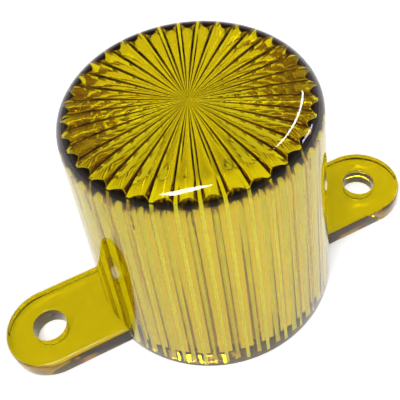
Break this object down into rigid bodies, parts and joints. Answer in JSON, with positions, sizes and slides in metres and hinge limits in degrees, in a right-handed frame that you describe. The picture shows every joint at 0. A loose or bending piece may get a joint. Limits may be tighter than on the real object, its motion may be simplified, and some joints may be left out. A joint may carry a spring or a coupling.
{
  "type": "signal lamp dome",
  "caption": "Clear amber moulded dome for a signal lamp: drafted round cap, open below, with reeded inside and a flat screw ear on each side.",
  "frame": {"origin": "centre of the open mouth, in the plane that the dome rests on", "axes": "+X through the right screw hole, +Z from the mouth up to the crown"},
  "size_m": [0.0592, 0.032, 0.0313],
  "materials": {
    "clear_amber": "clear, polished",
    "reeded_amber": "clear, polished, reeded"
  },
  "bodies": {
    "root": {"crown": "clear_amber", "crown_ribs": "reeded_amber", "rib_corners": "reeded_amber", "side_wall": "clear_amber", "side_ribs": "reeded_amber", "foot_ring": "clear_amber", "left_ear": "clear_amber", "right_ear": "clear_amber"}
  },
  "joints": []
}
